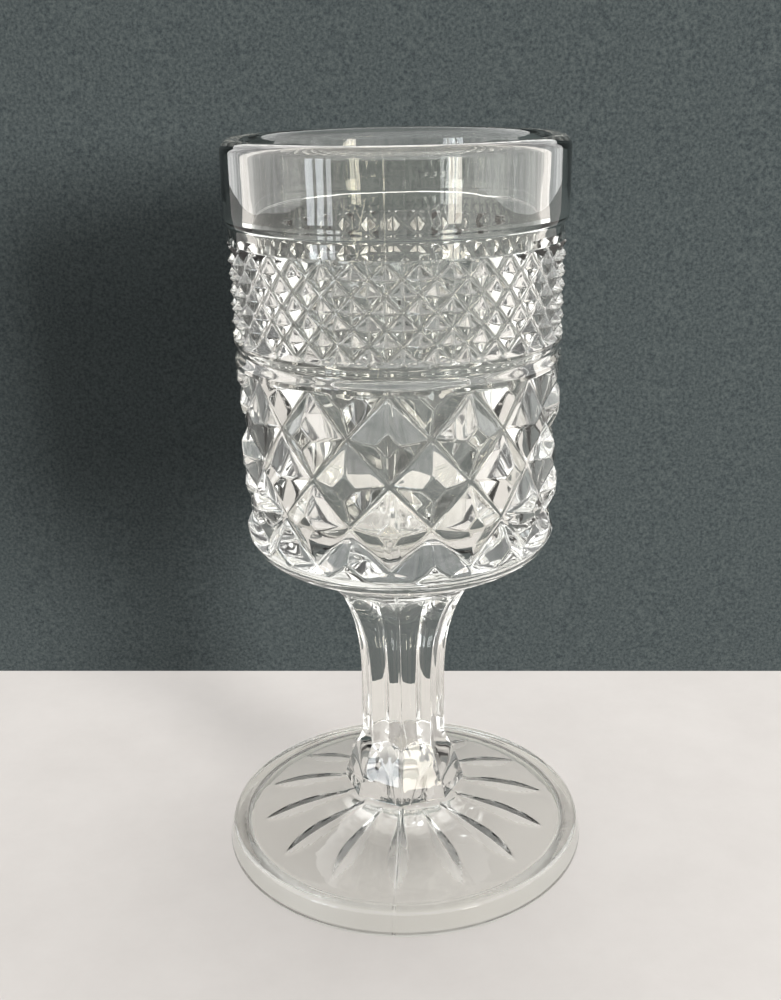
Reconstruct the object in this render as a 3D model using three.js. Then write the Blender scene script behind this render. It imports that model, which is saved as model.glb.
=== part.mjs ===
// A pressed liqueur glass in three pieces joined hot: a bowl with two bands of diamonds, a fluted
// stem and a foot with a star of rays underneath.
// Millimetres, +Z up. The origin is the middle of the circle on which the foot stands.
// The front seam of the mould faces -Y. Every pattern has a groove, a ridge or a ray on it.
import * as THREE from 'three';

// Foot
const FOOT_DIAMETER = 61.6;
const FOOT_HEIGHT = 10.75;
const FOOT_EDGE_HEIGHT = 4.6;
const FOOT_EDGE_LEAN = 0.6;
const FOOT_LOW_ROUND = 1.2;
const FOOT_TOP_ROUND = 0.9;
const FOOT_BORDER_WIDTH = 3.2;
const FOOT_DOME_POWER = 1.25;
const SEAT_MARGIN = 0.3;
const REST_RING_WIDTH = 1.6;
const REST_FLANK_WIDTH = 1;
const REST_FLANK_RISE = 2.4;
const HOLLOW_RISE = 3.9;
const HOLLOW_POWER = 2;

// Star of rays under the foot
const RAY_COUNT = 14;
const RAY_START_RADIUS = 5.5;
const RAY_LENGTH = 19.3;
const RAY_WIDTH = 3.8;
const RAY_DEPTH = 0.8;
const RAY_SWELL = 1.7;

// Stem
const STEM_LENGTH = 39.5;
const STEM_WAIST_DIAMETER = 14.1;
const STEM_TOP_DIAMETER = 27;
const STEM_FLARE_POWER = 2.8;
const STEM_WAIST_LENGTH = 10;
const COLLAR_DIAMETER = 20.8;
const COLLAR_HEIGHT = 8.5;
const COLLAR_POWER = 0.75;
const FLUTE_COUNT = 8;
const FLUTE_DEPTH = 0.95;
const COLLAR_FLUTE_DEPTH = 0.6;
const FLUTE_ARCH = 2.8;
const FLUTE_END_SLOPE = 0.9;
const FLUTE_TOP_BELOW_BOWL = 0.8;

// Bowl, from its seat on the stem up to the rim
const BASE_SLOPE = THREE.MathUtils.degToRad(27);
const BASE_ROUND = 6;
const LARGE_BELOW_ARC = 1.35;
const LARGE_BAND_HEIGHT = 27.1;
const SHOULDER_HEIGHT = 0.7;
const GROOVE_HEIGHT = 3;
const RING_HEIGHT = 0.5;
const FINE_BAND_HEIGHT = 13.75;
const NECK_HEIGHT = 2.4;
const BEVEL_HEIGHT = 1.85;
const RIM_BAND_HEIGHT = 10.45;
const RIM_DIAMETER = 52;
const WALL = 3.7;

// Height of the steep little face where the pattern of a band stops
const LEDGE_HEIGHT = 0.3;

// How far each band of the bowl lies inside the face of the rim band
const BASE_INSET = 1.15;
const LARGE_INSET_LOW = 1.05;
const LARGE_INSET_HIGH = 0.7;
const RING_INSET = 0.65;
const GROOVE_INSET = 1.33;
const FINE_INSET_LOW = 0.5;
const FINE_INSET_HIGH = 0.3;
const NECK_INSET = 0.62;

// Diamonds of the bowl: a band has half as many full rows of diamonds as it has levels. The large
// ones have flat tops, which take this share of a diamond's width and height.
const LARGE_COUNT = 12;
const LARGE_LEVELS = 4;
const LARGE_DEPTH = 2.3;
const LARGE_TOP_SHARE = 0.28;
const FINE_COUNT = 33;
const FINE_LEVELS = 6;
const FINE_DEPTH = 1.2;

// Inside of the bowl
const BASE_THICKNESS = 6;
const BORE_TAPER = 3.1;
const BORE_BOTTOM_RISE = 8;

// Numbers of points round a circle, and of rings along a curve
const ROUND_POINTS = 64;
const FLUTE_POINTS = 6;
const CURVE_RINGS = 8;
const SHAFT_RINGS = 16;
const COLLAR_RINGS = 5;
const ARC_RINGS = 5;

// Shares of a turn nearer to each other than this count as equal
const SAME_SHARE = 1e-9;

const TURN = 2 * Math.PI;

const GLASS = { color: 0xe9efec, roughness: 0.04, metalness: 0 };

// A point at a radius and a height, turned from the front towards +X.
function at(radius, turn, height) {
  return new THREE.Vector3(radius * Math.sin(turn), -radius * Math.cos(turn), height);
}

// A ring of points. place(i) gives radius, height and, where the step isn't even, turn. falls(i), if
// given, says whether the patch between point i, the next point and the ring above is split along
// the diagonal that falls from left to right.
function ring(count, place, falls) {
  const points = Array.from({ length: count }, (_, i) => {
    const { radius, height, turn = (TURN * i) / count } = place(i);
    return at(radius, turn, height);
  });
  return { points, falls };
}

function circle(radius, height, count = ROUND_POINTS) {
  return ring(count, () => ({ radius, height }));
}

const pole = (height) => ring(1, () => ({ radius: 0, height }));

// Evenly spaced shares from 0 to 1, without the two ends.
const between = (count) => Array.from({ length: count }, (_, i) => (i + 1) / (count + 1));

const axisDistance = (point) => Math.hypot(point.x, point.y);

// Triangles between two rings, from the lower to the upper one as seen from outside. Rings may have
// different numbers of points. Where the lower ring doesn't say how to split a four-cornered patch,
// the deeper diagonal is taken, so that a groove stays a groove.
function strip(lower, upper, lowerStart, upperStart) {
  const triangles = [];
  const n = lower.points.length;
  const m = upper.points.length;
  const depth = (i, j) => axisDistance(lower.points[i % n]) + axisDistance(upper.points[j % m]);
  const falls = (i, j) => (lower.falls ? lower.falls(i % n) : depth(i + 1, j) < depth(i, j + 1));
  let i = 0;
  let j = 0;
  while (i < n || j < m) {
    const lowerShare = (i + 1) / n;
    const upperShare = (j + 1) / m;
    const even = Math.abs(lowerShare - upperShare) < SAME_SHARE;
    const stepLower = even ? i < n && falls(i, j) : lowerShare < upperShare;
    const a = lowerStart + (i % n);
    const d = upperStart + (j % m);
    if ((stepLower && i < n) || j >= m) {
      i += 1;
      if (n > 1) triangles.push(a, lowerStart + (i % n), d);
    } else {
      j += 1;
      if (m > 1) triangles.push(a, upperStart + (j % m), d);
    }
  }
  return triangles;
}

// A closed skin over rings that run from the lowest point on the axis, out and up, to the last one.
function skin(rings) {
  const points = rings.flatMap((one) => one.points);
  const triangles = [];
  let start = 0;
  for (let k = 0; k + 1 < rings.length; k += 1) {
    const next = start + rings[k].points.length;
    triangles.push(...strip(rings[k], rings[k + 1], start, next));
    start = next;
  }
  const geometry = new THREE.BufferGeometry().setFromPoints(points);
  geometry.setIndex(triangles);
  geometry.computeVertexNormals();
  return geometry;
}

// A ray is a leaf-shaped V-groove: its width and its depth swell slowly from the middle of the foot
// outwards, and taper quickly to its blunt outer end.
function rayShape(radius) {
  const share = (radius - RAY_START_RADIUS) / RAY_LENGTH;
  return share <= 0 || share >= 1 ? 0 : Math.sin(Math.PI * share ** RAY_SWELL);
}

function footGeometry() {
  const edgeRadius = FOOT_DIAMETER / 2;
  const restOuter = edgeRadius - FOOT_LOW_ROUND;
  const restInner = restOuter - REST_RING_WIDTH;
  const hollowRadius = restInner - REST_FLANK_WIDTH;
  const wallTop = FOOT_EDGE_HEIGHT - FOOT_TOP_ROUND;
  const wallTopRadius = edgeRadius - FOOT_EDGE_LEAN;
  const borderOuter = wallTopRadius - FOOT_TOP_ROUND;
  const borderInner = edgeRadius - FOOT_BORDER_WIDTH;
  const seatRadius = COLLAR_DIAMETER / 2 + SEAT_MARGIN;
  const hollow = (radius) => REST_FLANK_RISE + HOLLOW_RISE * (1 - (radius / hollowRadius) ** HOLLOW_POWER);

  // Round each ray go four points: its valley, its right edge, the middle of the gap, its left edge.
  const columns = RAY_COUNT * 4;
  const pitch = TURN / RAY_COUNT;
  const underside = (radius) =>
    ring(columns, (i) => {
      const side = i % 4;
      const share = rayShape(radius);
      const valley = side === 0 ? RAY_DEPTH * share : 0;
      const halfTurn = share > 0 ? (RAY_WIDTH * share) / 2 / radius : pitch / 4;
      const offset = [0, halfTurn, pitch / 2, pitch - halfTurn][side];
      return { radius, height: hollow(radius) + valley, turn: Math.floor(i / 4) * pitch + offset };
    });

  const rayRings = between(CURVE_RINGS).map((share) => underside(RAY_START_RADIUS + RAY_LENGTH * share));
  const lowerEdge = between(ARC_RINGS).map((share) => {
    const angle = (share * Math.PI) / 2;
    const radius = restOuter + FOOT_LOW_ROUND * Math.sin(angle);
    return circle(radius, FOOT_LOW_ROUND * (1 - Math.cos(angle)), columns);
  });
  const upperEdge = between(ARC_RINGS).map((share) => {
    const angle = (share * Math.PI) / 2;
    const radius = borderOuter + FOOT_TOP_ROUND * Math.cos(angle);
    return circle(radius, wallTop + FOOT_TOP_ROUND * Math.sin(angle), columns);
  });
  const dome = between(CURVE_RINGS).map((share) => {
    const rise = (FOOT_HEIGHT - FOOT_EDGE_HEIGHT) * share ** FOOT_DOME_POWER;
    return circle(borderInner + (seatRadius - borderInner) * share, FOOT_EDGE_HEIGHT + rise, columns);
  });

  return skin([
    pole(hollow(0)),
    underside(RAY_START_RADIUS),
    ...rayRings,
    underside(RAY_START_RADIUS + RAY_LENGTH),
    circle(hollowRadius, REST_FLANK_RISE, columns),
    circle(restInner, 0, columns),
    circle(restOuter, 0, columns),
    ...lowerEdge,
    circle(edgeRadius, FOOT_LOW_ROUND, columns),
    circle(wallTopRadius, wallTop, columns),
    ...upperEdge,
    circle(borderOuter, FOOT_EDGE_HEIGHT, columns),
    circle(borderInner, FOOT_EDGE_HEIGHT, columns),
    ...dome,
    circle(seatRadius, FOOT_HEIGHT, columns),
    pole(FOOT_HEIGHT),
  ]);
}

// Radius of the stem's ridges at a height above its lower end.
function ridgeRadius(height) {
  const waist = STEM_WAIST_DIAMETER / 2;
  const flareStart = COLLAR_HEIGHT + STEM_WAIST_LENGTH;
  if (height < COLLAR_HEIGHT) {
    const share = 1 - height / COLLAR_HEIGHT;
    return waist + (COLLAR_DIAMETER / 2 - waist) * share ** COLLAR_POWER;
  }
  if (height < flareStart) return waist;
  const share = (height - flareStart) / (STEM_LENGTH - flareStart);
  return waist + (STEM_TOP_DIAMETER / 2 - waist) * share ** STEM_FLARE_POWER;
}

function stemGeometry() {
  const columns = FLUTE_COUNT * FLUTE_POINTS;
  const fluteTop = STEM_LENGTH - FLUTE_TOP_BELOW_BOWL;

  // Across a panel, from one ridge to the next, this goes from 0 up to 1 in the middle and back.
  const hollow = (i) => {
    const across = (2 * (i % FLUTE_POINTS)) / FLUTE_POINTS - 1;
    return 1 - across ** 2;
  };
  // A ring whose height bends up over each flute, and whose radius is less in the flute.
  const fluted = (ridgeHeight, arch, depth) =>
    ring(columns, (i) => {
      const height = ridgeHeight + arch * hollow(i);
      return { radius: ridgeRadius(height) - depth * hollow(i), height };
    });

  const fluteFoot = COLLAR_HEIGHT + FLUTE_END_SLOPE;
  const fluteHead = fluteTop - FLUTE_ARCH - FLUTE_END_SLOPE;
  const shaft = between(SHAFT_RINGS).map((share) => {
    const height = fluteFoot + (fluteHead - fluteFoot) * share;
    return fluted(height, FLUTE_ARCH * share ** 2, FLUTE_DEPTH);
  });
  const collarHead = COLLAR_HEIGHT - FLUTE_END_SLOPE;
  const collar = between(COLLAR_RINGS).map((share) => fluted(collarHead * share, 0, COLLAR_FLUTE_DEPTH));

  return skin([
    pole(0),
    fluted(0, 0, COLLAR_FLUTE_DEPTH),
    ...collar,
    fluted(collarHead, FLUTE_END_SLOPE, COLLAR_FLUTE_DEPTH),
    fluted(fluteFoot, 0, FLUTE_DEPTH),
    ...shaft,
    fluted(fluteHead, FLUTE_ARCH, FLUTE_DEPTH),
    fluted(fluteTop - FLUTE_ARCH, FLUTE_ARCH, 0),
    circle(STEM_TOP_DIAMETER / 2, STEM_LENGTH, columns),
    pole(STEM_LENGTH),
  ]);
}

function bowlGeometry() {
  const rim = RIM_DIAMETER / 2;
  const seat = STEM_TOP_DIAMETER / 2;

  // The underside is a shallow cone that turns up into the wall by an arc.
  const arcCentre = rim - BASE_INSET - BASE_ROUND;
  const coneEnd = arcCentre + BASE_ROUND * Math.sin(BASE_SLOPE);
  const coneRise = (coneEnd - seat) * Math.tan(BASE_SLOPE);
  const arcTop = coneRise + BASE_ROUND * Math.cos(BASE_SLOPE);
  const arcRadius = (height) => arcCentre + Math.sqrt(BASE_ROUND ** 2 - (arcTop - height) ** 2);

  // Heights of the bands, from the seat upwards
  const largeLow = arcTop - LARGE_BELOW_ARC;
  const largeHigh = largeLow + LARGE_BAND_HEIGHT;
  const shoulderLow = largeHigh + LEDGE_HEIGHT;
  const grooveLow = shoulderLow + SHOULDER_HEIGHT;
  const ringLow = grooveLow + GROOVE_HEIGHT;
  const ringHigh = ringLow + RING_HEIGHT;
  const fineLow = ringHigh + LEDGE_HEIGHT;
  const fineHigh = fineLow + FINE_BAND_HEIGHT;
  const neckLow = fineHigh + LEDGE_HEIGHT;
  const neckHigh = neckLow + NECK_HEIGHT;
  const rimLow = neckHigh + BEVEL_HEIGHT;
  const rimHigh = rimLow + RIM_BAND_HEIGHT;

  // Along a half diamond of the large band, points lie in the groove and at both sides of a flat top.
  const stops = [0, LARGE_TOP_SHARE, 1 - LARGE_TOP_SHARE];
  const stop = (k) => Math.floor(k / stops.length) + stops[k % stops.length];
  const largeColumns = 2 * LARGE_COUNT * stops.length;
  const largeRows = LARGE_LEVELS * stops.length + 1;

  // The arc's rings stop a ledge below the large band.
  const arcLow = Math.PI / 2 - BASE_SLOPE;
  const arcHigh = Math.asin((LARGE_BELOW_ARC + LEDGE_HEIGHT) / BASE_ROUND);
  const arc = [0, ...between(ARC_RINGS), 1].map((share) => {
    const angle = arcLow + (arcHigh - arcLow) * share;
    const height = arcTop - BASE_ROUND * Math.sin(angle);
    return circle(arcRadius(height), height, largeColumns);
  });

  // Two families of slanting grooves leave the diamonds standing. Round and up are counted in half
  // diamonds, and a groove lies where their sum or their difference is even. Two grooves cross at
  // the lower end of the front seam. The lowest row is cut off by the arc.
  const fromEven = (value) => Math.abs(THREE.MathUtils.euclideanModulo(value + 1, 2) - 1);
  const largeRing = (row) => {
    const up = stop(row);
    const share = up / LARGE_LEVELS;
    const height = largeLow + LARGE_BAND_HEIGHT * share;
    const face = rim - LARGE_INSET_LOW - (LARGE_INSET_HIGH - LARGE_INSET_LOW) * share;
    const limit = height < arcTop ? arcRadius(height) : face;
    const place = (i) => {
      const round = stop(i);
      const slope = Math.min(fromEven(round + up), fromEven(round - up)) / (1 - LARGE_TOP_SHARE);
      const radius = Math.min(limit, face - LARGE_DEPTH * (1 - Math.min(slope, 1)));
      return { radius, height, turn: (Math.PI * round) / LARGE_COUNT };
    };
    return ring(largeColumns, place, (i) => (Math.floor(stop(i)) + Math.floor(up)) % 2 === 1);
  };

  // In the fine band, groove crossings and tips of diamonds take turns along a level, and change
  // places from level to level. Level 0 has a crossing on the front seam.
  const fineRing = (level) =>
    ring(2 * FINE_COUNT, (i) => {
      const share = level / FINE_LEVELS;
      const crossing = (i + level) % 2 === 0;
      const face = rim - FINE_INSET_LOW - (FINE_INSET_HIGH - FINE_INSET_LOW) * share;
      return { radius: face - (crossing ? FINE_DEPTH : 0), height: fineLow + FINE_BAND_HEIGHT * share };
    });

  const lipRound = WALL / 2;
  const lipCentre = rimHigh - lipRound;
  const lip = between(ARC_RINGS).map((share) => {
    const angle = Math.PI * share;
    return circle(rim - lipRound + lipRound * Math.cos(angle), lipCentre + lipRound * Math.sin(angle));
  });

  const boreTop = rim - WALL;
  const boreLow = boreTop - BORE_TAPER;
  const boreBottom = BASE_THICKNESS + BORE_BOTTOM_RISE;
  const bore = between(ARC_RINGS).map((share) =>
    circle(boreTop - BORE_TAPER * share, lipCentre + (boreBottom - lipCentre) * share));
  const cup = between(CURVE_RINGS).map((share) => {
    const angle = (share * Math.PI) / 2;
    return circle(boreLow * Math.cos(angle), boreBottom - BORE_BOTTOM_RISE * Math.sin(angle));
  });

  const rows = (count, make) => Array.from({ length: count }, (_, i) => make(i));
  const plainLarge = (inset, height) => circle(rim - inset, height, largeColumns);
  const plainFine = (inset, height) => circle(rim - inset, height, 2 * FINE_COUNT);

  return skin([
    pole(0),
    circle(seat, 0, largeColumns),
    ...arc,
    ...rows(largeRows, largeRing),
    plainLarge(RING_INSET, shoulderLow),
    plainLarge(RING_INSET, grooveLow),
    plainLarge(GROOVE_INSET, grooveLow + GROOVE_HEIGHT / 2),
    plainFine(RING_INSET, ringLow),
    plainFine(RING_INSET, ringHigh),
    ...rows(FINE_LEVELS + 1, fineRing),
    plainFine(NECK_INSET, neckLow),
    plainFine(NECK_INSET, neckHigh),
    circle(rim, rimLow),
    circle(rim, lipCentre),
    ...lip,
    circle(boreTop, lipCentre),
    ...bore,
    circle(boreLow, boreBottom),
    ...cup,
    pole(BASE_THICKNESS),
  ]);
}

function piece(name, geometry, height) {
  const mesh = new THREE.Mesh(geometry, new THREE.MeshStandardMaterial(GLASS));
  mesh.name = name;
  mesh.position.z = height;
  return mesh;
}

const glass = new THREE.Group();
glass.add(
  piece('foot', footGeometry(), 0),
  piece('stem', stemGeometry(), FOOT_HEIGHT),
  piece('bowl', bowlGeometry(), FOOT_HEIGHT + STEM_LENGTH),
);

export default glass;
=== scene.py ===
# %% [markdown]
# # A pressed liqueur glass
# A small stem glass of clear pressed glass: a straight bowl with two bands of diamonds, a fluted stem
# and a round foot with a star of rays under it. The CAD part gives the true sizes. Here each of its
# three pieces gets a finer surface, and glass that bends light as real glass does.
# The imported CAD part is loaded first, because everything else is placed in its frame.

# %% Load the frame
import math

import bpy
import numpy as np
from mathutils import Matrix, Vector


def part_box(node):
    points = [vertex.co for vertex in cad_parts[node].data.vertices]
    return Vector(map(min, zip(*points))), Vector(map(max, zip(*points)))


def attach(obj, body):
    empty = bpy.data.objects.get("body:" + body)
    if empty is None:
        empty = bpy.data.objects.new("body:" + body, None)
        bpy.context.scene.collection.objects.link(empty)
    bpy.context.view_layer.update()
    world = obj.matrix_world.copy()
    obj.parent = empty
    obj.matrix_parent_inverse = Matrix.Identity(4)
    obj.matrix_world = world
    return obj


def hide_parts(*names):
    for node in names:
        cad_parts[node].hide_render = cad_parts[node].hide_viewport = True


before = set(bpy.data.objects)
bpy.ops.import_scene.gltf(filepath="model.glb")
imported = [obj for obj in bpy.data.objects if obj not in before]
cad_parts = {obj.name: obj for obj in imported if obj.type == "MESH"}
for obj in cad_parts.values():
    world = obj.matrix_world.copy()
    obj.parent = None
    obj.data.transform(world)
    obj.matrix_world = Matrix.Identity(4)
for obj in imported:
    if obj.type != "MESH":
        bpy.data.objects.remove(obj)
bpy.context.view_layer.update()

# %% [markdown]
# ## Heights that come from the CAD pieces
# The foot, the stem and the bowl stand on each other. Their meeting heights are read from the CAD
# pieces, so the finer surfaces meet in the same places. All shapes below are worked out in millimetres
# and turned into metres when they become meshes.

# %% Meeting heights
MM = 0.001
STEM_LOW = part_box("stem")[0].z / MM
STEM_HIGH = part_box("stem")[1].z / MM
BOWL_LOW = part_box("bowl")[0].z / MM
BOWL_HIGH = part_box("bowl")[1].z / MM
RIM_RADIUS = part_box("bowl")[1].x / MM
FOOT_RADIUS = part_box("foot")[1].x / MM
print("stem from", round(STEM_LOW, 2), "to", round(STEM_HIGH, 2), "bowl to", round(BOWL_HIGH, 2))

# %% [markdown]
# ## Surfaces made of rings
# Every piece of a glass goes round one axis, so its surface is a grid: rows run along the profile,
# columns run round the axis. A lathe modifier could turn a profile, but not one that changes on the way
# round, as diamonds, flutes and rays do. So the radius is a function of turn and height, worked out for
# the whole grid at once. Bands may have different numbers of columns. A row of triangles, found by
# merging the turns of two neighbouring rings in order, joins them.

# %% Grids, rings and skins
TIE_BREAK = 1e-9
PLAIN, MELTED, HAZY = 0, 1, 2


def turns(columns):
    """Even turns round the axis in radians. Turn 0 is the front, where the mould's seam is."""
    return 2 * np.pi * np.arange(columns) / columns


def around(radius, height, turn):
    """Points of a grid: x is radius times sine of turn, y is minus radius times cosine of turn."""
    radius, height, turn = np.broadcast_arrays(radius, height, turn)
    return np.stack([radius * np.sin(turn), -radius * np.cos(turn), height], axis=-1)


def plain(radius, height, columns):
    """A grid with the same profile all the way round. Each pair of radius and height is a row."""
    radius = np.asarray(radius, float)[:, None]
    height = np.asarray(height, float)[:, None]
    return around(radius, height, turns(columns)[None, :])


def stitch(lower, upper):
    """Triangles between two rings of point numbers. Steps along both rings are sorted by their share of
    the turn, and each step makes one triangle with the point that waits on the other ring."""
    n, m = len(lower), len(upper)
    share = np.concatenate([(np.arange(n) + 1) / n, (np.arange(m) + 1) / m - TIE_BREAK])
    on_lower = np.argsort(share, kind="stable") < n
    i = np.cumsum(on_lower) - on_lower
    j = np.cumsum(~on_lower) - ~on_lower
    step = np.where(on_lower, lower[(i + 1) % n], upper[(j + 1) % m])
    made = np.stack([lower[i % n], step, upper[j % m]], axis=1)
    return made[(made[:, 0] != made[:, 1]) & (made[:, 1] != made[:, 2])]


def weave(numbers, falling):
    """Triangles of a grid. Each four-cornered patch is cut along one diagonal, the falling one where
    falling is true, so that a crease that runs slantwise lies on edges of the mesh."""
    a, d = numbers[:-1], numbers[1:]
    b, c = np.roll(a, -1, axis=1), np.roll(d, -1, axis=1)
    first = np.where(falling[..., None], np.stack([a, b, d], -1), np.stack([a, b, c], -1))
    second = np.where(falling[..., None], np.stack([b, c, d], -1), np.stack([a, c, d], -1))
    return np.concatenate([first.reshape(-1, 3), second.reshape(-1, 3)])


def skin(name, blocks, joints, hazy=()):
    """A closed mesh over blocks of rings that run from the axis below, out, up and back to the axis.
    A block is a grid of points, or a pair of a grid and its falling diagonals. joints says whether the
    first and the last fan of triangles are faces melted to a neighbour. hazy lists the numbers of blocks
    with a patterned surface. The faces' material numbers are PLAIN, MELTED or HAZY."""
    blocks = [b if isinstance(b, tuple) else (b, np.zeros((len(b) - 1, b.shape[1]), bool)) for b in blocks]
    points = np.concatenate([grid.reshape(-1, 3) for grid, _ in blocks])
    counts = [grid.shape[0] * grid.shape[1] for grid, _ in blocks]
    starts = np.cumsum([0] + counts)
    numbers = [s + np.arange(n).reshape(g.shape[:2]) for s, n, (g, _) in zip(starts, counts, blocks)]
    parts = [weave(n, falling) for n, (_, falling) in zip(numbers, blocks) if len(n) > 1]
    seams = [stitch(low[-1], high[0]) for low, high in zip(numbers[:-1], numbers[1:])]
    faces = np.concatenate(parts + seams)
    looks = [HAZY if number in hazy else PLAIN for number, n in enumerate(numbers) if len(n) > 1]
    sizes = [len(p) for p in parts]
    look = np.concatenate([np.repeat(looks, sizes), np.full(len(faces) - sum(sizes), PLAIN)])
    if joints[1]:
        look[len(faces) - len(seams[-1]):] = MELTED
    if joints[0]:
        look[sum(sizes):sum(sizes) + len(seams[0])] = MELTED
    mesh = bpy.data.meshes.new(name)
    mesh.vertices.add(len(points))
    mesh.vertices.foreach_set("co", (points * MM).astype(np.float32).ravel())
    mesh.loops.add(3 * len(faces))
    mesh.loops.foreach_set("vertex_index", faces.astype(np.int32).ravel())
    mesh.polygons.add(len(faces))
    mesh.polygons.foreach_set("loop_start", np.arange(0, 3 * len(faces), 3, dtype=np.int32))
    mesh.polygons.foreach_set("use_smooth", np.ones(len(faces), bool))
    mesh.polygons.foreach_set("material_index", look.astype(np.int32))
    mesh.update(calc_edges=True)
    mark_joint_edges(mesh, numbers, joints)
    piece = bpy.data.objects.new(name, mesh)
    bpy.context.scene.collection.objects.link(piece)
    print(name, len(points), "points,", len(faces), "triangles")
    return piece


def mark_joint_edges(mesh, numbers, joints):
    """Sharp edges round a melted face, so that its flatness doesn't tilt the shading of the wall."""
    rings = [ring for ring, melted in ((numbers[1][0], joints[0]), (numbers[-2][-1], joints[1])) if melted]
    ends = np.empty(2 * len(mesh.edges), np.int32)
    mesh.edges.foreach_get("vertices", ends)
    ends = ends.reshape(-1, 2)
    sharp = np.zeros(len(ends), bool)
    for ring in rings:
        sharp |= np.isin(ends, ring).all(axis=1)
    mesh.attributes.new("sharp_edge", "BOOLEAN", "EDGE").data.foreach_set("value", sharp)


def pole(height):
    """One point on the axis, as a ring of its own."""
    return np.array([[[0.0, 0.0, height]]])


def ease(value, low, high):
    """0 below low, 1 above high, and an S-shaped rise between them."""
    t = np.clip((value - low) / (high - low), 0, 1)
    return t * t * (3 - 2 * t)


def soft_least(a, b, width):
    """The lesser of two values, with a rounded corner of that width where they are equal."""
    return 0.5 * (a + b - np.sqrt((a - b) ** 2 + width ** 2))


print("triangles between a ring of 3 and a ring of 4 points:", len(stitch(np.arange(3), 3 + np.arange(4))))

# %% [markdown]
# ## The bowl's diamonds
# Two families of slanting grooves cross and leave four-sided points standing between them. In a plane
# whose unit is half a diamond, a groove lies where the sum or the difference of the two coordinates is
# an even number. The height of a point is its distance to the nearest groove, and the nearer family
# wins, which gives the ridges of the little pyramids. Grooves have a narrow flat floor, and the large
# pyramids a small flat top, so the height is cut off at both ends. A bump texture could fake this, but
# light that goes through the glass needs real facets. The grid has as many rows as columns in each half
# diamond, so that every groove and every flat top ends exactly on the diagonals.

# %% Diamond relief
CORNER_SOFTNESS = 0.02


def diamond_height(a, b, groove, top):
    """Height in a pyramid whose tip is 1, kept between a groove's floor and a flat top, with soft corners.
    a and b count half diamonds round and up."""
    rising = np.abs((a - b + 1) % 2 - 1)
    falling = np.abs((a + b + 1) % 2 - 1)
    height = soft_least(np.minimum(rising, falling), top, CORNER_SOFTNESS)
    return -soft_least(-height, -groove, CORNER_SOFTNESS)


def diamond_grid(count, fineness, levels):
    """Coordinates a and b of a band's grid in half diamonds, and which patches are cut the falling way."""
    a = np.arange(2 * count * fineness) / fineness
    b = np.arange(levels[0], levels[1] + 1) / fineness
    cells = np.floor(a + 0.5 / fineness)[None, :] + np.floor(b[:-1] + 0.5 / fineness)[:, None]
    return a[None, :], b[:, None], cells % 2 == 1


heights = diamond_height(np.array([0.0, 0.5, 1.0]), 0.0, 0.05, 1.0)
print("height in a groove, on a flank and at a tip:", np.round(heights, 2))

# %% [markdown]
# ## The bowl
# From the stem, the bowl opens as a shallow cone, turns up by an arc and runs nearly straight to the
# rim: large diamonds, a groove, a plain ring, fine diamonds, a neck, and a plain band with a round lip.
# The inside is smooth, because a plain plunger shaped it, and narrower below, so that the plunger comes
# out. The two bands are the relief above, cut into a wall that widens a little upwards. Each band ends
# in a steep little face where the pattern stops.

# %% Bowl profile
SEAT_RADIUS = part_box("stem")[1].x / MM
BASE_SLOPE = math.radians(27)
BASE_ROUND = 6.0
BASE_INSET = 1.15
BASE_RADIUS = RIM_RADIUS - BASE_INSET
ARC_CENTRE = BASE_RADIUS - BASE_ROUND
CONE_END = ARC_CENTRE + BASE_ROUND * math.sin(BASE_SLOPE)
CONE_HIGH = BOWL_LOW + (CONE_END - SEAT_RADIUS) * math.tan(BASE_SLOPE)
ARC_HIGH = CONE_HIGH + BASE_ROUND * math.cos(BASE_SLOPE)
LARGE_COUNT = 12
LARGE_LEVELS = 4
LARGE_FINENESS = 18
LARGE_STEP = 6.77
LARGE_PYRAMID = 3.3
LARGE_TOP = 13 / LARGE_FINENESS
LARGE_INSET = 1.05
LARGE_LEAN = 0.35
LARGE_BELOW_ARC = 1.35
LARGE_LOW = ARC_HIGH - LARGE_BELOW_ARC
LARGE_HIGH = LARGE_LOW + LARGE_LEVELS * LARGE_STEP
FINE_COUNT = 33
FINE_LEVELS = 6
FINE_FINENESS = 8
FINE_STEP = 2.29
FINE_PYRAMID = 1.45
FINE_INSET = 0.5
FINE_LEAN = 0.2
BETWEEN_BANDS = 4.75
FINE_LOW = LARGE_HIGH + BETWEEN_BANDS
FINE_HIGH = FINE_LOW + FINE_LEVELS * FINE_STEP
RING_INSET = 0.65
RING_RADIUS = RIM_RADIUS - RING_INSET
NECK_INSET = 0.62
NECK_RADIUS = RIM_RADIUS - NECK_INSET
GROOVE_START = 1.0
GROOVE_END = 4.0
GROOVE_DEPTH = 0.68
WALL = 3.7
BORE_TAPER = 3.1
BASE_THICKNESS = 6.0
BORE_BOTTOM_RISE = 8.0
ROUND_COLUMNS = 300
RING_COLUMNS = 400


def arc_radius(height):
    """Radius of the bowl's underside where it turns up: an arc of a circle, then straight."""
    drop = np.clip(ARC_HIGH - height, 0, BASE_ROUND)
    return ARC_CENTRE + np.sqrt(BASE_ROUND ** 2 - drop ** 2)


def middle_profile(height):
    """Shoulder, groove and plain ring between the bands: a cosine-shaped groove in a straight wall."""
    low, high = LARGE_HIGH + GROOVE_START, LARGE_HIGH + GROOVE_END
    inside = (height > low) & (height < high)
    groove = np.where(inside, 0.5 - 0.5 * np.cos(2 * np.pi * (height - low) / (high - low)), 0)
    return RING_RADIUS - GROOVE_DEPTH * groove


def upper_profile(height):
    """Neck over the fine band and plain rim band: a straight neck, a steep ledge and a slight bevel."""
    corners = FINE_HIGH + np.array([0.4, 2.7, 2.78, 3.06, 3.14, 4.2, 4.5, 8.0])
    inset = np.array([0.0, 0.0, 0.02, 0.38, 0.41, 0.53, 0.57, 0.6])
    return NECK_RADIUS + np.interp(height, corners, inset)


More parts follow.
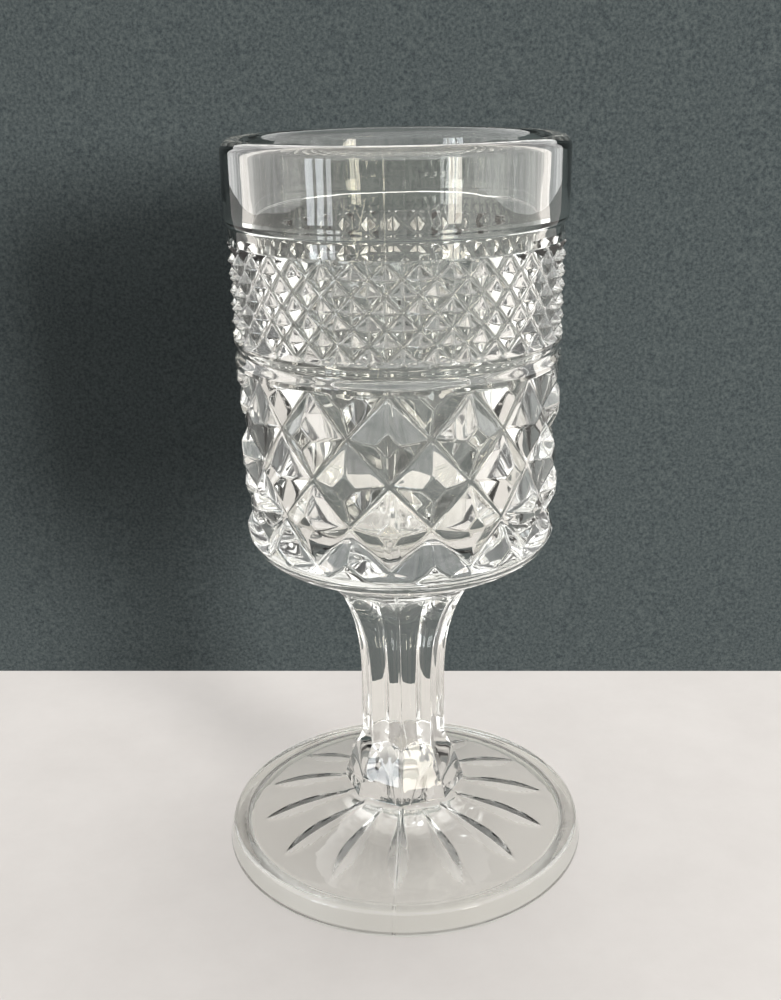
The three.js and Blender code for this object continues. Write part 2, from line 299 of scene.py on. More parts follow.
def large_band():
    """Grid of the large diamonds: truncated pyramids, which stop at the base's arc and at the shoulder."""
    rows = (-2, LARGE_LEVELS * LARGE_FINENESS + 1)
    a, b, falling = diamond_grid(LARGE_COUNT, LARGE_FINENESS, rows)
    height = LARGE_LOW + LARGE_STEP * b
    face = RIM_RADIUS - LARGE_INSET + LARGE_LEAN * np.clip(b, 0, LARGE_LEVELS) / LARGE_LEVELS
    groove = 1 / LARGE_FINENESS
    radius = face - LARGE_PYRAMID * (LARGE_TOP - diamond_height(a, b, groove, LARGE_TOP))
    radius = soft_least(radius, arc_radius(height) + 0.3 * np.clip(height - ARC_HIGH, 0, None), 0.1)
    arc = arc_radius(height)
    radius = arc + (radius - arc) * ease(height, LARGE_LOW - 0.35, LARGE_LOW - 0.01)
    radius = radius + (RING_RADIUS - radius) * ease(height, LARGE_HIGH + 0.01, LARGE_HIGH + 0.3)
    return around(radius, height, a * math.pi / LARGE_COUNT), falling


def fine_band():
    """Grid of the fine diamonds: pointed pyramids between the plain ring and the neck."""
    rows = (-1, FINE_LEVELS * FINE_FINENESS + 1)
    a, b, falling = diamond_grid(FINE_COUNT, FINE_FINENESS, rows)
    height = FINE_LOW + FINE_STEP * b
    face = RIM_RADIUS - FINE_INSET + FINE_LEAN * np.clip(b, 0, FINE_LEVELS) / FINE_LEVELS
    radius = face - FINE_PYRAMID * (1 - diamond_height(a, b, 1 / FINE_FINENESS, 1.0))
    radius = radius + (RING_RADIUS - radius) * (1 - ease(height, FINE_LOW - 0.25, FINE_LOW - 0.01))
    radius = radius + (NECK_RADIUS - radius) * ease(height, FINE_HIGH + 0.01, FINE_HIGH + 0.25)
    return around(radius, height, a * math.pi / FINE_COUNT), falling


def bowl_blocks():
    """Rings of the whole bowl, from the middle of its seat to the middle of its inside."""
    cone = np.linspace(0, 1, 5)
    arc_height = np.linspace(CONE_HIGH, LARGE_LOW - 0.9, 14)[1:]
    base_radius = np.concatenate([SEAT_RADIUS + (CONE_END - SEAT_RADIUS) * cone, arc_radius(arc_height)])
    base_height = np.concatenate([BOWL_LOW + (CONE_HIGH - BOWL_LOW) * cone, arc_height])

    above = LARGE_HIGH + np.linspace(0.6, 4.3, 24)
    lip = WALL / 2
    lip_height = BOWL_HIGH - lip
    low_neck = [0.45, 0.6, 0.8, 1.3, 1.8, 2.3, 2.7]
    ledge = [2.78, 2.87, 2.97, 3.06, 3.14]
    bevel = [3.6, 4.2, 4.5, 5.2]
    neck = np.array(low_neck + ledge + bevel)
    rim_height = np.concatenate([FINE_HIGH + neck, [FINE_HIGH + 8, lip_height - 2.5, lip_height]])
    rim_radius = np.minimum(upper_profile(rim_height), RIM_RADIUS)

    turn = np.linspace(0, math.pi, 18)[1:]
    lip_grid = plain(RIM_RADIUS - lip + lip * np.cos(turn), lip_height + lip * np.sin(turn), ROUND_COLUMNS)
    bore_top = RIM_RADIUS - WALL
    bore_low = bore_top - BORE_TAPER
    bottom = BOWL_LOW + BASE_THICKNESS
    bore_end = bottom + BORE_BOTTOM_RISE
    share = np.linspace(0, 1, 6)[1:]
    bore = plain(bore_top - BORE_TAPER * share, lip_height + (bore_end - lip_height) * share, ROUND_COLUMNS)
    bend = np.linspace(0, math.pi / 2, 26)[1:-1]
    cup = plain(bore_low * np.cos(bend), bottom + BORE_BOTTOM_RISE * (1 - np.sin(bend)), ROUND_COLUMNS)
    return [
        pole(BOWL_LOW),
        plain(base_radius, base_height, 2 * LARGE_COUNT * LARGE_FINENESS),
        large_band(),
        plain(middle_profile(above), above, RING_COLUMNS),
        fine_band(),
        plain(rim_radius, rim_height, ROUND_COLUMNS),
        lip_grid,
        bore,
        cup,
        pole(bottom),
    ]


PATTERNED_BLOCKS = (2, 4)
bowl = skin("glass_bowl", bowl_blocks(), (True, False), PATTERNED_BLOCKS)

# %% [markdown]
# ## The stem
# The stem is solid. Eight shallow flutes run up it between crisp ridges and end in round arches under the
# bowl. Below, they run into a flared collar with eight flat facets. Where a hollow flute meets a flat
# facet, the crease between them is a small scallop. So the stem is the greater of two radii, one of the
# fluted shaft and one of the faceted collar, and the scallops come out by themselves. Cutting cylinders
# out of a turned solid would need booleans and would leave ragged edges.

# %% Stem surface
FLUTES = 8
STEM_COLUMNS = 336
WAIST_RADIUS = 7.05
COLLAR_RADIUS = 10.4
COLLAR_HIGH = STEM_LOW + 9.5
FLARE_LOW = STEM_LOW + 18.4
FLARE_POWER = 2.8
FLUTE_DEPTH = 0.95
FLUTE_GROWTH = 0.06
ARCH_FOOT = 3.6
ARCH_RISE = 2.8
ARCH_END = 0.9
COLLAR_LEAN = 0.254
COLLAR_CURVE = 0.0134
CREASE_WIDTH = 0.06


def ridge_radius(height):
    """Radius of the ridges above the collar: a straight waist, and a power curve out to the bowl."""
    up = np.clip((height - FLARE_LOW) / (STEM_HIGH - FLARE_LOW), 0, 1)
    return WAIST_RADIUS + (SEAT_RADIUS - WAIST_RADIUS) * up ** FLARE_POWER


def stem_radius(turn, height):
    """The greater of two surfaces: a shaft, which is the ridge radius less flutes that are deepest in the
    middle of a panel, and a collar with flat facets, whose corners curve in with height."""
    across = 2 * ((turn * FLUTES / (2 * np.pi)) % 1) - 1
    belly = 1 - across ** 2
    ridge = ridge_radius(height)
    arch = STEM_HIGH - ARCH_FOOT + ARCH_RISE * (1 - across ** 4)
    depth = FLUTE_DEPTH + FLUTE_GROWTH * (ridge - WAIST_RADIUS)
    flute = depth * belly * (1 - ease(height, arch - ARCH_END, arch))
    up = height - STEM_LOW
    corner = COLLAR_RADIUS - COLLAR_LEAN * up - COLLAR_CURVE * up ** 2
    half = np.pi / FLUTES
    facet = corner * math.cos(half) / np.cos(half * across)
    return -soft_least(flute - ridge, -facet, CREASE_WIDTH)


def stem_blocks():
    """Rings of the stem between its two melted ends."""
    low = np.linspace(STEM_LOW, COLLAR_HIGH + 1, 60)[:-1]
    height = np.concatenate([low, np.linspace(COLLAR_HIGH + 1, STEM_HIGH, 110)])[:, None]
    turn = turns(STEM_COLUMNS)[None, :]
    return [pole(STEM_LOW), around(stem_radius(turn, height), height, turn), pole(STEM_HIGH)]


stem = skin("glass_stem", stem_blocks(), (True, True))

# %% [markdown]
# ## The foot
# The foot's top is smooth: a slope from the collar out to a flat border. The underside follows it, with a
# standing ring whose inner flank is steep, so that the edge shows the pale floor. The star is pressed
# into the hollow underside, and is seen through the top. Each ray is a groove with two flat flanks, and
# its width and depth swell and taper together, so that its outline is a leaf. The depth at a point is
# the leaf's depth at that radius less a slope times the distance from the ray's middle. The standing
# ring was ground flat and the rays are a little rough, so their points carry a mark that dulls the glass.

# %% Foot surface
RAYS = 14
RAY_START = 5.5
RAY_LENGTH = 19.3
RAY_SWELL = 1.7
RAY_HALF_WIDTH = 1.9
RAY_DEPTH = 0.8
RAY_KEEL = 0.15
RAY_EDGE = 0.06
RAY_DULLNESS = 0.6
LOW_ROUND = 1.2
TOP_ROUND = 0.9
REST_OUTER = FOOT_RADIUS - LOW_ROUND
REST_WIDTH = 1.6
REST_INNER = REST_OUTER - REST_WIDTH
FLANK_RISE = 2.4
FLANK_WIDTH = 1.0
HOLLOW_RADIUS = REST_INNER - FLANK_WIDTH
HOLLOW_RISE = 3.9
EDGE_HIGH = 4.6
EDGE_LEAN = 0.6
BORDER_OUTER = FOOT_RADIUS - EDGE_LEAN - TOP_ROUND
BORDER_WIDTH = 3.2
BORDER_INNER = FOOT_RADIUS - BORDER_WIDTH
BORDER_STEP = 0.12
STEP_WIDTH = 0.5
DOME_POWER = 1.25
SEAT_MARGIN = 0.3


def underside_height(turn, radius):
    """Flank of the standing ring, and a hollow that falls with the square of the radius, plus the rays."""
    flank = FLANK_RISE * np.clip((REST_INNER - radius) / (REST_INNER - HOLLOW_RADIUS), 0, 1)
    hollow = flank + HOLLOW_RISE * np.clip(1 - (radius / HOLLOW_RADIUS) ** 2, 0, 1)
    return hollow + ray_depth(turn, radius)


def ray_depth(turn, radius):
    """A V across each ray, as deep as a sine that swells towards the outside, and nothing between rays."""
    pitch = 2 * np.pi / RAYS
    off = (turn + pitch / 2) % pitch - pitch / 2
    share = np.clip((radius - RAY_START) / RAY_LENGTH, 0, 1)
    across = np.sqrt((radius * np.sin(off)) ** 2 + RAY_KEEL ** 2)
    leaf = RAY_DEPTH * np.sin(np.pi * share ** RAY_SWELL) - RAY_DEPTH / RAY_HALF_WIDTH * across
    return 0.5 * (leaf + np.sqrt(leaf ** 2 + RAY_EDGE ** 2)) - RAY_EDGE / 4


def foot_blocks():
    """Rings of the foot: underside, standing ring, edge, border, dome and the melted seat of the stem."""
    turn = turns(STEM_COLUMNS)[None, :]
    in_star = np.arange(5.5, 25.6, 0.35)
    in_flank = np.arange(25.8, REST_INNER - 0.05, 0.1)
    radius = np.concatenate([[2.0, 4.0], in_star, in_flank])[:, None]
    under = around(radius, underside_height(turn, radius), turn)
    corner = np.linspace(0, math.pi / 2, 9)
    low_radius = np.concatenate([[REST_INNER], REST_OUTER + LOW_ROUND * np.sin(corner)])
    low_height = np.concatenate([[0.0], LOW_ROUND * (1 - np.cos(corner))])
    high_radius = BORDER_OUTER + TOP_ROUND * np.cos(corner)
    high_height = EDGE_HIGH - TOP_ROUND * (1 - np.sin(corner))
    edge_radius = np.concatenate([low_radius, high_radius])
    edge = plain(edge_radius, np.concatenate([low_height, high_height]), STEM_COLUMNS)
    seat = COLLAR_RADIUS + SEAT_MARGIN
    step = np.linspace(0, 1, 6)[:-1]
    step_radius = BORDER_INNER + STEP_WIDTH * (1 - step)
    step_height = EDGE_HIGH - BORDER_STEP * ease(step, 0, 1)
    share = np.linspace(0, 1, 34)
    dome_radius = BORDER_INNER + (seat - BORDER_INNER) * share
    dome_height = EDGE_HIGH - BORDER_STEP + (STEM_LOW - EDGE_HIGH + BORDER_STEP) * share ** DOME_POWER
    top_radius = np.concatenate([step_radius, dome_radius])
    top = plain(top_radius, np.concatenate([step_height, dome_height]), STEM_COLUMNS)
    outline = around(stem_radius(turn, np.full((1, 1), STEM_LOW)), np.full((1, 1), STEM_LOW), turn)
    return [pole(FLANK_RISE + HOLLOW_RISE), under, edge, top, outline, pole(STEM_LOW)]


def mark_dull_places(mesh):
    """Point attribute that is 1 on the ground standing ring and its flank, and less in the rays, which the
    mould left a little rough. A point lies in a ray if the ray is deep there and it is on the underside."""
    place = np.empty(3 * len(mesh.vertices), np.float32)
    mesh.vertices.foreach_get("co", place)
    x, y, height = (place.reshape(-1, 3) / MM).T
    radius = np.hypot(x, y)
    turn = np.arctan2(x, -y)
    standing = (height < FLANK_RISE) & (radius > HOLLOW_RADIUS - 0.1) & (radius < REST_OUTER + 0.1)
    in_ray = (ray_depth(turn, radius) > 0.08) & (height < underside_height(turn, radius) + 0.2)
    dullness = (standing + RAY_DULLNESS * in_ray).astype(np.float32)
    mesh.attributes.new("ground", "FLOAT", "POINT").data.foreach_set("value", dullness)
    print("points of the standing ring and the rays:", standing.sum(), in_ray.sum())


foot = skin("glass_foot", foot_blocks(), (False, True))
mark_dull_places(foot.data)

# %% [markdown]
# ## Clear pressed glass
# The glass is nearly colourless and shiny from the fire that smoothed it after pressing. Its surface still
# swims a little, and the mould's two halves left a fine line up the front and the back. A plain glass
# shader would look like plastic film, so slow ripples and the seam go into a bump. They are one node
# group, because all pieces share them with different values. The bands of diamonds hold a little haze that
# the plain glass hasn't, so they have a material of their own.
# Lamp light that goes through real glass is bent, and most of it misses the place straight behind. Path
# tracing that is slow and grainy, so lamps see the glass as a dim film instead: patterned walls hold
# back more light than the smooth foot.

# %% Fire-polish group
SEAM_WIDTH = 0.2
SEAM_SHARE = 1.5
SKIN_ROUGHNESS = 0.025


def fire_polish_group():
    """Group that gives the height of slow ripples plus the mould's seam line, and the skin's roughness.
    The seam is a bell curve of the distance from the plane through the front and the back."""
    group = bpy.data.node_groups.new("fire_polish", "ShaderNodeTree")
    group.interface.new_socket("Vector", in_out="INPUT", socket_type="NodeSocketVector")
    ripple = group.interface.new_socket("Ripples per metre", in_out="INPUT", socket_type="NodeSocketFloat")
    ripple.default_value = 120
    group.interface.new_socket("Height", in_out="OUTPUT", socket_type="NodeSocketFloat")
    group.interface.new_socket("Roughness", in_out="OUTPUT", socket_type="NodeSocketFloat")
    nodes, links = group.nodes, group.links
    given = nodes.new("NodeGroupInput")
    result = nodes.new("NodeGroupOutput")
    swim = nodes.new("ShaderNodeTexNoise")
    swim.inputs["Detail"].default_value = 1.5
    links.new(given.outputs["Vector"], swim.inputs["Vector"])
    links.new(given.outputs["Ripples per metre"], swim.inputs["Scale"])
    split = nodes.new("ShaderNodeSeparateXYZ")
    links.new(given.outputs["Vector"], split.inputs["Vector"])
    square = nodes.new("ShaderNodeMath")
    square.operation = "MULTIPLY"
    links.new(split.outputs["X"], square.inputs[0])
    links.new(split.outputs["X"], square.inputs[1])
    narrow = nodes.new("ShaderNodeMath")
    narrow.operation = "MULTIPLY"
    narrow.inputs[1].default_value = -1 / (SEAM_WIDTH * MM) ** 2
    links.new(square.outputs[0], narrow.inputs[0])
    seam = nodes.new("ShaderNodeMath")
    seam.operation = "EXPONENT"
    links.new(narrow.outputs[0], seam.inputs[0])
    both = nodes.new("ShaderNodeMath")
    both.operation = "MULTIPLY_ADD"
    both.inputs[1].default_value = SEAM_SHARE
    links.new(seam.outputs[0], both.inputs[0])
    links.new(swim.outputs["Fac"], both.inputs[2])
    links.new(both.outputs[0], result.inputs["Height"])
    haze = nodes.new("ShaderNodeTexNoise")
    haze.inputs["Scale"].default_value = 900
    links.new(given.outputs["Vector"], haze.inputs["Vector"])
    shine = nodes.new("ShaderNodeMapRange")
    shine.inputs["From Min"].default_value = 0.35
    shine.inputs["From Max"].default_value = 0.75
    shine.inputs["To Min"].default_value = 0.0
    shine.inputs["To Max"].default_value = SKIN_ROUGHNESS
    links.new(haze.outputs["Fac"], shine.inputs["Value"])
    links.new(shine.outputs["Result"], result.inputs["Roughness"])
    return group


fire_polish = fire_polish_group()
print(fire_polish.name, "has", len(fire_polish.nodes), "nodes")

# %% Glass materials
REFRACTION = 1.51
THICK_FROM = 26.0
THICK_TO = 29.5
THICK_TINT = (0.90, 0.908, 0.865)


def pressed_glass(name, ripples, depth, film, tint, clearness=1.0, worn=0.0):
    """Glass that bends what the eye sees through it, and that a lamp sees as a film. The share that isn't
    clear is a pale haze of fine mould marks and dust. worn is the roughness of the ground standing ring.
    The tint deepens with the distance from the axis, where the eye looks along the foot's thick edge."""
    material = bpy.data.materials.new(name)
    material.use_nodes = True
    nodes, links = material.node_tree.nodes, material.node_tree.links
    nodes.clear()
    output = nodes.new("ShaderNodeOutputMaterial")
    place = nodes.new("ShaderNodeTexCoord")
    polish = nodes.new("ShaderNodeGroup")
    polish.node_tree = fire_polish
    polish.inputs["Ripples per metre"].default_value = ripples
    links.new(place.outputs["Object"], polish.inputs["Vector"])
    bump = nodes.new("ShaderNodeBump")
    bump.inputs["Strength"].default_value = 1.0
    bump.inputs["Distance"].default_value = depth * MM
    links.new(polish.outputs["Height"], bump.inputs["Height"])
    clear = nodes.new("ShaderNodeBsdfPrincipled")
    flat = nodes.new("ShaderNodeVectorMath")
    flat.operation = "MULTIPLY"
    flat.inputs[1].default_value = (1, 1, 0)
    links.new(place.outputs["Object"], flat.inputs[0])
    radius = nodes.new("ShaderNodeVectorMath")
    radius.operation = "LENGTH"
    links.new(flat.outputs["Vector"], radius.inputs[0])
    thick = nodes.new("ShaderNodeMapRange")
    thick.inputs["From Min"].default_value = THICK_FROM * MM
    thick.inputs["From Max"].default_value = THICK_TO * MM
    links.new(radius.outputs["Value"], thick.inputs["Value"])
    stain = nodes.new("ShaderNodeMix")
    stain.data_type = "RGBA"
    stain.inputs["A"].default_value = (*tint, 1)
    stain.inputs["B"].default_value = (*THICK_TINT, 1)
    links.new(thick.outputs["Result"], stain.inputs["Factor"])
    links.new(stain.outputs["Result"], clear.inputs["Base Color"])
    clear.inputs["Transmission Weight"].default_value = clearness
    clear.inputs["IOR"].default_value = REFRACTION
    ground = nodes.new("ShaderNodeAttribute")
    ground.attribute_name = "ground"
    dull = nodes.new("ShaderNodeMath")
    dull.operation = "MULTIPLY_ADD"
    dull.inputs[1].default_value = worn
    links.new(ground.outputs["Fac"], dull.inputs[0])
    links.new(polish.outputs["Roughness"], dull.inputs[2])
    links.new(dull.outputs[0], clear.inputs["Roughness"])
    links.new(bump.outputs["Normal"], clear.inputs["Normal"])
    passing = nodes.new("ShaderNodeBsdfTransparent")
    passing.inputs["Color"].default_value = (film, film, film, 1)
    ray = nodes.new("ShaderNodeLightPath")
    lamp_or_spread = nodes.new("ShaderNodeMath")
    lamp_or_spread.operation = "MAXIMUM"
    links.new(ray.outputs["Is Shadow Ray"], lamp_or_spread.inputs[0])
    links.new(ray.outputs["Is Diffuse Ray"], lamp_or_spread.inputs[1])
    mix = nodes.new("ShaderNodeMixShader")
    links.new(lamp_or_spread.outputs[0], mix.inputs["Fac"])
    links.new(clear.outputs[0], mix.inputs[1])
    links.new(passing.outputs[0], mix.inputs[2])
    links.new(mix.outputs[0], output.inputs["Surface"])
    return material


WARM = (0.985, 0.985, 0.95)
GREENISH = (0.985, 0.987, 0.955)
bowl_glass = pressed_glass("bowl_glass", ripples=150, depth=0.03, film=0.6, tint=WARM)
band_glass = pressed_glass("band_glass", ripples=150, depth=0.03, film=0.6, tint=WARM, clearness=0.975)
stem_glass = pressed_glass("stem_glass", ripples=240, depth=0.06, film=0.5, tint=WARM)
foot_glass = pressed_glass("foot_glass", ripples=210, depth=0.07, film=0.985, tint=GREENISH, worn=0.5)
print("glasses:", [glass.name for glass in (bowl_glass, band_glass, stem_glass, foot_glass)])

# %% [markdown]
# ## Melted joints
# The bowl, the stem and the foot were joined while the glass was soft, so light crosses the joints as if
# they weren't there. Each piece stays a closed mesh, and its joint faces get a fully see-through shader.
# Without it, the two faces would show as a mirror inside the glass.

# %% Joint material and pieces on the body
def melted_joint():
    """A surface that neither bends nor dims light."""
    material = bpy.data.materials.new("melted_joint")
    material.use_nodes = True
    nodes, links = material.node_tree.nodes, material.node_tree.links
    nodes.clear()
    output = nodes.new("ShaderNodeOutputMaterial")
    passing = nodes.new("ShaderNodeBsdfTransparent")
    links.new(passing.outputs[0], output.inputs["Surface"])
    return material


joint = melted_joint()
PIECES = (
    (bowl, (bowl_glass, joint, band_glass), "bowl"),
    (stem, (stem_glass, joint), "stem"),
    (foot, (foot_glass, joint), "foot"),
)
for piece, materials, node in PIECES:
    for material in materials:
        piece.data.materials.append(material)
    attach(piece, "root")
    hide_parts(node)
    print(piece.name, "stands for", node)

# %% [markdown]
# ## Floor and backdrop
# The glass stands on a pale sheet, and a charcoal board leans upright behind it. Clear glass shows
# little but its surroundings, so the board matters: it makes the rim dark and the edges crisp. The board
# is seen from its front only, so that the glass can still be looked at from behind.

# %% Stage
SEAM_TURN = math.radians(4.3)
TURN_TO_CAMERA = np.array([
    [math.cos(SEAM_TURN), -math.sin(SEAM_TURN), 0],
    [math.sin(SEAM_TURN), math.cos(SEAM_TURN), 0],
    [0, 0, 1],
])


def sheet_of(name, corners):
    """A flat four-cornered stage piece, whose corners are given as the camera sees them."""
    mesh = bpy.data.meshes.new(name)
    mesh.from_pydata([tuple(TURN_TO_CAMERA @ np.array(c) * MM) for c in corners], [], [(0, 1, 2, 3)])
    made = bpy.data.objects.new(name, mesh)
    bpy.context.scene.collection.objects.link(made)
    return made


FLOOR_HALF = 900
BOARD_HALF, BOARD_TALL = 93, 152
BOARD_AWAY, BOARD_SLANT = 60.3, 0.0374
left_end = BOARD_AWAY + BOARD_SLANT * BOARD_HALF
right_end = BOARD_AWAY - BOARD_SLANT * BOARD_HALF
floor = sheet_of("floor", [
    (-FLOOR_HALF, -FLOOR_HALF, 0),
    (FLOOR_HALF, -FLOOR_HALF, 0),
    (FLOOR_HALF, FLOOR_HALF, 0),
    (-FLOOR_HALF, FLOOR_HALF, 0),
])
board = sheet_of("board", [
    (-BOARD_HALF, left_end, 0),
    (BOARD_HALF, right_end, 0),
    (BOARD_HALF, right_end, BOARD_TALL),
    (-BOARD_HALF, left_end, BOARD_TALL),
])


def paper(name, pale, dark, scale, bounce):
    """Matt paper whose colour wanders a little between two tones, with a fine grain. bounce is the share of
    its colour that it throws on other matt things, so that a pale sheet needn't brighten a dark one."""
    material = bpy.data.materials.new(name)
    material.use_nodes = True
    nodes, links = material.node_tree.nodes, material.node_tree.links
    shader = nodes["Principled BSDF"]
    shader.inputs["Roughness"].default_value = 0.9
    shader.inputs["Specular IOR Level"].default_value = 0.2
    place = nodes.new("ShaderNodeTexCoord")
    grain = nodes.new("ShaderNodeTexNoise")
    grain.inputs["Scale"].default_value = scale
    grain.inputs["Detail"].default_value = 8
    grain.inputs["Roughness"].default_value = 0.7
    links.new(place.outputs["Object"], grain.inputs["Vector"])
    tone = nodes.new("ShaderNodeMix")
    tone.data_type = "RGBA"
    tone.inputs["A"].default_value = (*dark, 1)
    tone.inputs["B"].default_value = (*pale, 1)
    spread = nodes.new("ShaderNodeMapRange")
    spread.inputs["From Min"].default_value = 0.36
    spread.inputs["From Max"].default_value = 0.64
    links.new(grain.outputs["Fac"], spread.inputs["Value"])
    links.new(spread.outputs["Result"], tone.inputs["Factor"])
    ray = nodes.new("ShaderNodeLightPath")
    thrown = nodes.new("ShaderNodeMix")
    thrown.data_type = "RGBA"
    thrown.blend_type = "MULTIPLY"
    thrown.inputs["B"].default_value = (bounce, bounce, bounce, 1)
    links.new(ray.outputs["Is Diffuse Ray"], thrown.inputs["Factor"])
    links.new(tone.outputs["Result"], thrown.inputs["A"])
    links.new(thrown.outputs["Result"], shader.inputs["Base Color"])
    return material


def one_sided(material):
    """Makes a sheet see-through from behind."""
    nodes, links = material.node_tree.nodes, material.node_tree.links
    see_through = nodes.new("ShaderNodeBsdfTransparent")
    side = nodes.new("ShaderNodeNewGeometry")
    mix = nodes.new("ShaderNodeMixShader")
    links.new(side.outputs["Backfacing"], mix.inputs["Fac"])
    links.new(nodes["Principled BSDF"].outputs[0], mix.inputs[1])
    links.new(see_through.outputs[0], mix.inputs[2])
    links.new(mix.outputs[0], nodes["Material Output"].inputs["Surface"])
    return material


pale_floor = paper("pale_floor", pale=(0.71, 0.68, 0.66), dark=(0.67, 0.64, 0.62), scale=40, bounce=0.2)
charcoal = paper(
    "charcoal_board",
    pale=(0.100, 0.119, 0.119),
    dark=(0.037, 0.047, 0.052),
    scale=1600,
    bounce=1.0,
)
floor.data.materials.append(pale_floor)
board.data.materials.append(one_sided(charcoal))
board.visible_shadow = False
board.visible_diffuse = False
print("floor and board made")

# %% [markdown]
# ## Light
# Low sun from the right of the camera throws the bowl's shadow on the board. Two windows with panes, a
# cream one on the right and a bluish one on the left, show as streaks in the rim and on the collar. A
# soft ceiling lights the floor and leaves the board dark. The ceiling and the walls are the world, so
# that they light every view alike. What stands in the room makes the walls uneven, and the glass shows
# that in its facets. What the glass mirrors and what it shows by bending light have levels of their own,
# because a mirrored window is faint and the bent light fills whole facets.

# %% Lamps and world
def window(name, azimuth, distance, sill, width, height, radiance, tint):
    """An upright window that faces the glass. A lamp's power is its radiance times pi times its area. The
    azimuth is counted from the camera's side, to the right. The sill is its lower edge."""
    lamp = bpy.data.lights.new(name, "AREA")
    lamp.shape = "RECTANGLE"
    lamp.size = width
    lamp.size_y = height
    lamp.energy = radiance * math.pi * width * height
    lamp.color = tint
    made = bpy.data.objects.new(name, lamp)
    a = math.radians(azimuth) + SEAM_TURN
    made.location = (distance * math.sin(a), -distance * math.cos(a), sill + height / 2)
    made.rotation_euler = (math.pi / 2, 0, a)
    made.visible_camera = False
    bpy.context.scene.collection.objects.link(made)
    return made


PANE_SILL = 0.005
PANE_HEIGHT = 0.22
PANES = (
    ("right_pane_near", 33.6, 0.66, 0.042, 11, (1.0, 0.93, 0.79)),
    ("right_pane_far", 38.2, 0.66, 0.048, 11, (1.0, 0.94, 0.81)),
    ("left_pane_near", -42.0, 0.62, 0.034, 7, (0.93, 0.96, 1.0)),
    ("left_pane_middle", -48.0, 0.62, 0.050, 9, (0.90, 0.95, 1.0)),
    ("left_pane_far", -55.0, 0.62, 0.056, 9, (0.90, 0.95, 1.0)),
)
for name, azimuth, distance, width, radiance, tint in PANES:
    pane = window(name, azimuth, distance, PANE_SILL, width, PANE_HEIGHT, radiance, tint)
    pane.visible_diffuse = False
key = window(
    "low_sun",
    azimuth=41,
    distance=2.0,
    sill=0.207,
    width=0.578,
    height=0.622,
    radiance=57,
    tint=(1.0, 0.98, 0.95),
)
key.visible_glossy = False
key.visible_transmission = False

LIGHT_TINT = (1.0, 1.0, 0.985, 1)
SEEN_WALL = (0.10, 0.115, 0.112, 1)
CLUTTER_SCALE = 14
CLUTTER_FLATNESS = 0.2
CLUTTER_SHADE = 0.6
CEILING_DIRECTION = (0.1, 0.22, 0.97)
CEILING_LEVEL = 2.85
CEILING_IN_GLASS = 1.0
WALL_LEVEL = 0.03
DIM_FRONT = 0.06
MIRRORED_LEVEL = 3.8
BENT_LEVEL_FRONT = 1.3
BENT_LEVEL_SIDE = 2.2


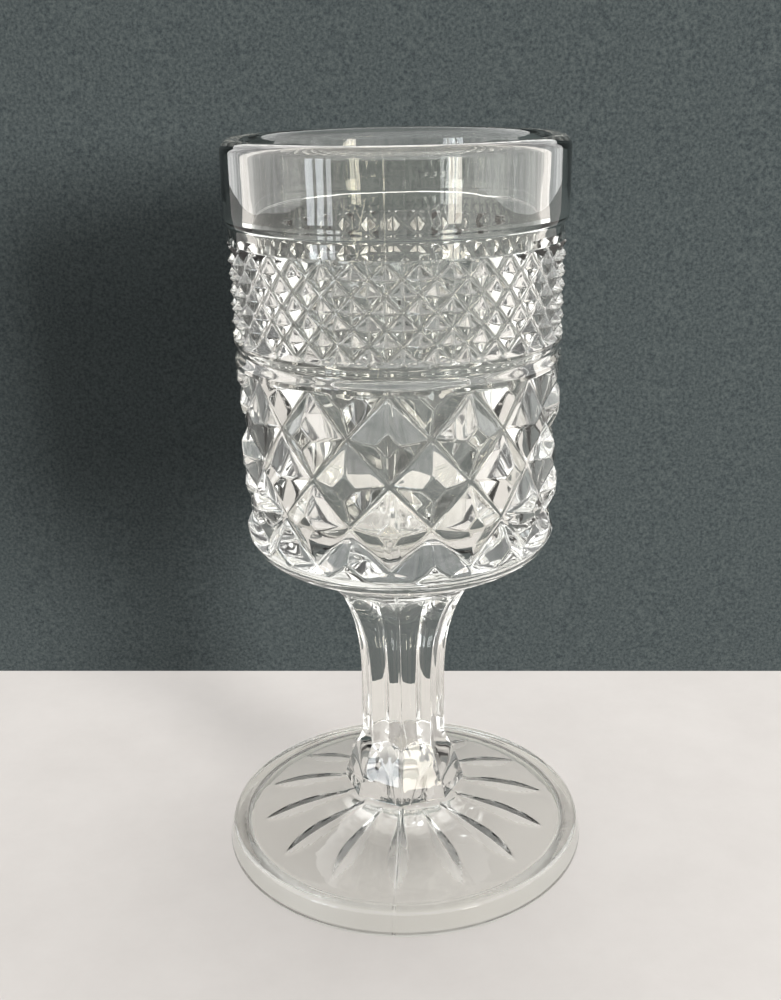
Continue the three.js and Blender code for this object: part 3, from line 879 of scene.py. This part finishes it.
def room():
    """World that lights the floor from overhead. The glass shows a pale room, the camera a dim wall."""
    world = bpy.data.worlds.new("room")
    world.use_nodes = True
    nodes, links = world.node_tree.nodes, world.node_tree.links
    nodes.clear()
    output = nodes.new("ShaderNodeOutputWorld")
    place = nodes.new("ShaderNodeTexCoord")
    split = nodes.new("ShaderNodeSeparateXYZ")
    links.new(place.outputs["Generated"], split.inputs["Vector"])
    ray = nodes.new("ShaderNodeLightPath")
    in_glass = nodes.new("ShaderNodeMath")
    in_glass.operation = "MAXIMUM"
    links.new(ray.outputs["Is Glossy Ray"], in_glass.inputs[0])
    links.new(ray.outputs["Is Transmission Ray"], in_glass.inputs[1])

    def ramp(source, start, end, low, high):
        """Level that goes from low to high while the source goes from start to end."""
        made = nodes.new("ShaderNodeMapRange")
        made.interpolation_type = "SMOOTHSTEP"
        made.inputs["From Min"].default_value = start
        made.inputs["From Max"].default_value = end
        made.inputs["To Min"].default_value = low
        made.inputs["To Max"].default_value = high
        links.new(source, made.inputs["Value"])
        return made

    above = ramp(split.outputs["Z"], -0.02, 0.15, DIM_FRONT, 1.0)
    beside = ramp(split.outputs["Y"], -0.80, -0.4, DIM_FRONT, 1.0)
    walls = nodes.new("ShaderNodeMath")
    walls.operation = "MAXIMUM"
    links.new(above.outputs["Result"], walls.inputs[0])
    links.new(beside.outputs["Result"], walls.inputs[1])
    things = nodes.new("ShaderNodeTexNoise")
    things.inputs["Scale"].default_value = CLUTTER_SCALE
    things.inputs["Detail"].default_value = 3
    upright = nodes.new("ShaderNodeVectorMath")
    upright.operation = "MULTIPLY"
    upright.inputs[1].default_value = (1, 1, CLUTTER_FLATNESS)
    links.new(place.outputs["Generated"], upright.inputs[0])
    links.new(upright.outputs[0], things.inputs["Vector"])
    clutter = ramp(things.outputs["Fac"], 0.36, 0.64, CLUTTER_SHADE, 1.0)
    mirrored = nodes.new("ShaderNodeMath")
    mirrored.operation = "MULTIPLY"
    mirrored.inputs[1].default_value = MIRRORED_LEVEL
    links.new(walls.outputs[0], mirrored.inputs[0])
    bent = ramp(split.outputs["Y"], -0.80, -0.4, BENT_LEVEL_FRONT, BENT_LEVEL_SIDE)
    level = nodes.new("ShaderNodeMix")
    links.new(ray.outputs["Is Transmission Ray"], level.inputs["Factor"])
    links.new(mirrored.outputs[0], level.inputs["A"])
    links.new(bent.outputs["Result"], level.inputs["B"])
    shown = nodes.new("ShaderNodeMath")
    shown.operation = "MULTIPLY"
    links.new(level.outputs["Result"], shown.inputs[0])
    links.new(clutter.outputs["Result"], shown.inputs[1])
    wall = nodes.new("ShaderNodeMix")
    wall.inputs["A"].default_value = WALL_LEVEL
    links.new(in_glass.outputs[0], wall.inputs["Factor"])
    links.new(shown.outputs[0], wall.inputs["B"])
    ceiling = ramp(in_glass.outputs[0], 0, 1, CEILING_LEVEL, CEILING_IN_GLASS)
    overhead = nodes.new("ShaderNodeVectorMath")
    overhead.operation = "DOT_PRODUCT"
    overhead.inputs[1].default_value = CEILING_DIRECTION
    links.new(place.outputs["Generated"], overhead.inputs[0])
    rise = ramp(overhead.outputs["Value"], 0.75, 0.95, 0.0, 1.0)
    links.new(wall.outputs["Result"], rise.inputs["To Min"])
    links.new(ceiling.outputs["Result"], rise.inputs["To Max"])
    lit = nodes.new("ShaderNodeBackground")
    lit.inputs["Color"].default_value = LIGHT_TINT
    links.new(rise.outputs["Result"], lit.inputs["Strength"])
    seen = nodes.new("ShaderNodeBackground")
    seen.inputs["Color"].default_value = SEEN_WALL
    mix = nodes.new("ShaderNodeMixShader")
    links.new(ray.outputs["Is Camera Ray"], mix.inputs["Fac"])
    links.new(lit.outputs[0], mix.inputs[1])
    links.new(seen.outputs[0], mix.inputs[2])
    links.new(mix.outputs[0], output.inputs["Surface"])
    return world


bpy.context.scene.world = room()
bpy.context.scene.view_settings.view_transform = "Standard"

# %% [markdown]
# ## Camera
# The photograph was taken from a little above, close to the glass, and tilted by a degree. The camera's
# place, pitch, roll and focal length come from fitting the rim, the foot and the bands. The front seam
# is turned a little to the camera's left, so the camera goes round the glass by that angle.

# %% Camera
CAMERA_PLACE = (-1.61, -192.1, 129.4)
CAMERA_PITCH = 19.36
CAMERA_ROLL = 0.98
FOCAL_PIXELS, IMAGE_HEIGHT = 1251.6, 1000
SENSOR = 36


def photo_camera():
    """Camera from its fitted place, pitch and roll, turned about the glass's axis by the seam's angle."""
    pitch, roll = math.radians(CAMERA_PITCH), math.radians(CAMERA_ROLL)
    right = np.array([1.0, 0.0, 0.0])
    up = np.array([0.0, math.sin(pitch), math.cos(pitch)])
    ahead = np.array([0.0, math.cos(pitch), -math.sin(pitch)])
    own_x = math.cos(roll) * right - math.sin(roll) * up
    own_y = math.sin(roll) * right + math.cos(roll) * up
    axes = np.stack([own_x, own_y, -ahead], axis=1)
    data = bpy.data.cameras.new("photo_camera")
    data.sensor_width = SENSOR
    data.lens = SENSOR * FOCAL_PIXELS / IMAGE_HEIGHT
    data.clip_start = 0.01
    data.clip_end = 20
    made = bpy.data.objects.new("photo_camera", data)
    matrix = np.eye(4)
    matrix[:3, :3] = TURN_TO_CAMERA @ axes
    matrix[:3, 3] = TURN_TO_CAMERA @ np.array(CAMERA_PLACE) * MM
    made.matrix_world = [tuple(row) for row in matrix.T]
    bpy.context.scene.collection.objects.link(made)
    return made


bpy.context.scene.camera = photo_camera()
print("camera at", [round(v, 4) for v in bpy.context.scene.camera.location])
